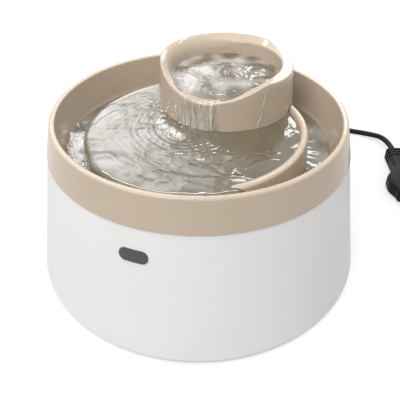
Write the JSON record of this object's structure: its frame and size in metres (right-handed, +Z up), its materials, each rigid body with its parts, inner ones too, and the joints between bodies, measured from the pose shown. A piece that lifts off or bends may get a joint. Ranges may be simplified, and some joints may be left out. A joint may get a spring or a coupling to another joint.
{
  "type": "pet water fountain",
  "caption": "Round pet drinking fountain: pump in a white reservoir feeds a raised cup whose water runs over its lip into a tray, then a ring channel.",
  "frame": {"origin": "on the table, under the middle of the reservoir", "axes": "+Z up; -Y is the front, where the cup spills; the mains lead leaves at the back"},
  "size_m": [0.3341, 0.308, 0.1338],
  "materials": {
    "white_shell": "gloss moulded ABS",
    "beige_shell": "gloss moulded ABS",
    "plain_plate": "gloss moulded plate",
    "foot_rubber": "soft rubber",
    "black_rubber": "matt rubber",
    "cord_sheath": "satin PVC sheath",
    "plug_moulding": "satin PVC moulding",
    "plug_metal": "nickel plated",
    "pump_plastic": "fine matt moulding",
    "impeller_plastic": "plain moulding",
    "ferrite": "sintered ferrite",
    "steel": "ground stainless steel",
    "clear_tube": "natural tube",
    "silicone": "silicone",
    "foam": "open-cell foam",
    "filter_felt": "felted fibre over carbon",
    "filter_plastic": "plain moulding",
    "tie_plastic": "coated wire tie"
  },
  "bodies": {
    "base": {"reservoir": "white_shell", "reservoir_feet": "foot_rubber", "front_plate": "plain_plate", "pump_housing": "pump_plastic", "impeller_chamber": "pump_plastic", "chamber_cover": "pump_plastic", "shaft_bushes": "black_rubber", "impeller_shaft": "steel", "inlet_cover": "pump_plastic", "intake_sponge": "foam", "suction_cups": "black_rubber", "riser_tube": "clear_tube", "riser_sleeve": "silicone", "riser_seal": "silicone", "cable_grommet": "black_rubber", "strain_relief": "black_rubber", "lead_boot": "black_rubber", "pump_lead": "cord_sheath", "cord_drop": "cord_sheath", "cord_coil": "cord_sheath", "coil_tie": "tie_plastic", "cord_run": "cord_sheath", "plug_body": "plug_moulding", "plug_pins": "plug_metal"},
    "rotor": {"impeller": "impeller_plastic", "rotor_magnet": "ferrite"},
    "regulator": {"flow_regulator": "pump_plastic"},
    "bowl": {"bowl": "beige_shell"},
    "filter": {"filter_basket": "filter_plastic", "filter_pad": "filter_felt", "filter_lid": "filter_plastic"},
    "tray": {"drinking_tray": "beige_shell"},
    "cup": {"spout_cup": "beige_shell"}
  },
  "joints": [
    {"name": "impeller_spin", "type": "hinge", "parent": "base", "child": "rotor", "pos_m": [0.01895, 0.03299, 0.028], "axis": [0, 1, 0], "continuous": true},
    {"name": "flow_slide", "type": "slide", "parent": "base", "child": "regulator", "axis": [1, 0, 0], "range_m": [0, 0.006]},
    {"name": "bowl_lift", "type": "slide", "parent": "base", "child": "bowl", "axis": [0, 0, 1], "range_m": [0, 0.1]},
    {"name": "filter_drop", "type": "slide", "parent": "bowl", "child": "filter", "axis": [0, 0, -1], "range_m": [0, 0.012]},
    {"name": "tray_lift", "type": "slide", "parent": "bowl", "child": "tray", "axis": [0, 0, 1], "range_m": [0, 0.04]},
    {"name": "cup_lift", "type": "slide", "parent": "tray", "child": "cup", "axis": [0, 0, 1], "range_m": [0, 0.05]}
  ]
}
